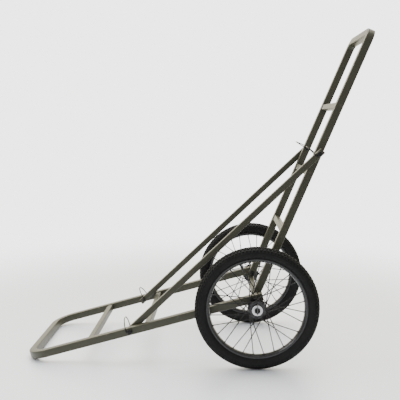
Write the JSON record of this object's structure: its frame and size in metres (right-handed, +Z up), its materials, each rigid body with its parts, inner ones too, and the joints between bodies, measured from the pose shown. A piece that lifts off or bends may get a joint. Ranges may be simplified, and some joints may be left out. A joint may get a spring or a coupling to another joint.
{
  "type": "folding game cart",
  "caption": "Folding two-wheeled hauling cart: sloping square-tube deck, leaning U-shaped handle held by pinned diagonal braces, and large spoked pneumatic wheels.",
  "frame": {"origin": "on the floor, at the middle of the cart's bounding box", "axes": "+X towards the handle, -X towards the deck's tip, Y along the axle, +Z up"},
  "size_m": [1.4656, 0.7656, 1.401],
  "materials": {
    "paint": "satin",
    "black_steel": "satin",
    "zinc": "bright",
    "black_plastic": "matte",
    "tyre": "matte",
    "inner_rubber": "matte",
    "black_rim": "gloss"
  },
  "bodies": {
    "deck": {"deck_frame": "paint", "deck_middle_crossbar": "paint", "deck_front_crossbar": "paint", "left_rail_end_cap": "black_plastic", "right_rail_end_cap": "black_plastic", "axle_tube": "paint", "axle_shaft": "black_steel", "left_axle_spacer": "zinc", "left_axle_washer": "zinc", "left_axle_nut": "black_steel", "left_axle_cotter": "zinc", "left_pivot_bolt": "black_steel", "left_pivot_nut": "black_steel", "left_pivot_spacer": "zinc", "left_deck_pin": "black_steel", "right_axle_spacer": "zinc", "right_axle_washer": "zinc", "right_axle_nut": "black_steel", "right_axle_cotter": "zinc", "right_pivot_bolt": "black_steel", "right_pivot_nut": "black_steel", "right_pivot_spacer": "zinc", "right_deck_pin": "black_steel"},
    "handle": {"handle_frame": "paint", "handle_lower_crossbar": "paint", "handle_middle_crossbar": "paint", "handle_upper_crossbar": "paint", "left_handle_pin": "black_steel", "right_handle_pin": "black_steel"},
    "left_brace": {"left_brace": "paint"},
    "right_brace": {"right_brace": "paint"},
    "left_wheel": {"left_tyre": "tyre", "left_inner_tube": "inner_rubber", "left_rim": "black_rim", "left_valve": "black_steel", "left_hub_and_spokes": "black_rim", "left_outer_bearing": "zinc", "left_inner_bearing": "zinc"},
    "right_wheel": {"right_tyre": "tyre", "right_inner_tube": "inner_rubber", "right_rim": "black_rim", "right_valve": "black_steel", "right_hub_and_spokes": "black_rim", "right_outer_bearing": "zinc", "right_inner_bearing": "zinc"},
    "left_deck_bail": {"left_deck_bail": "black_steel"},
    "left_handle_bail": {"left_handle_bail": "black_steel"},
    "right_deck_bail": {"right_deck_bail": "black_steel"},
    "right_handle_bail": {"right_handle_bail": "black_steel"}
  },
  "joints": [
    {"name": "left_wheel_spin", "type": "hinge", "parent": "deck", "child": "left_wheel", "pos_m": [0.25123, -0.323, 0.257], "axis": [0, 1, 0], "continuous": true},
    {"name": "right_wheel_spin", "type": "hinge", "parent": "deck", "child": "right_wheel", "pos_m": [0.25123, 0.323, 0.257], "axis": [0, 1, 0], "continuous": true},
    {"name": "handle_fold", "type": "hinge", "parent": "deck", "child": "handle", "pos_m": [0.25414, 0, 0.2883], "axis": [0, -1, 0], "range_deg": [0, 121.5]},
    {"name": "left_brace_fold", "type": "hinge", "parent": "deck", "child": "left_brace", "pos_m": [-0.27958, -0.2375, 0.13979], "axis": [0, 1, 0], "range_deg": [0, 5.2]},
    {"name": "right_brace_fold", "type": "hinge", "parent": "deck", "child": "right_brace", "pos_m": [-0.27958, 0.2375, 0.13979], "axis": [0, 1, 0], "range_deg": [0, 5.2]},
    {"name": "left_deck_bail_open", "type": "hinge", "parent": "deck", "child": "left_deck_bail", "pos_m": [-0.27958, -0.28768, 0.13979], "axis": [0.9659, 0, 0.2588], "range_deg": [0, 180]},
    {"name": "left_handle_bail_open", "type": "hinge", "parent": "handle", "child": "left_handle_bail", "pos_m": [0.50533, -0.255, 0.88672], "axis": [0.6293, 0, 0.7771], "range_deg": [0, 180]},
    {"name": "right_deck_bail_open", "type": "hinge", "parent": "deck", "child": "right_deck_bail", "pos_m": [-0.27958, 0.28768, 0.13979], "axis": [-0.848, 0, -0.5299], "range_deg": [0, 180]},
    {"name": "right_handle_bail_open", "type": "hinge", "parent": "handle", "child": "right_handle_bail", "pos_m": [0.50533, 0.255, 0.88672], "axis": [-0.4848, 0, -0.8746], "range_deg": [0, 180]}
  ],
  "couplings": [
    {"joint": "left_brace_fold", "follows": "handle_fold", "ratio": 0.0427},
    {"joint": "right_brace_fold", "follows": "handle_fold", "ratio": 0.0427}
  ]
}
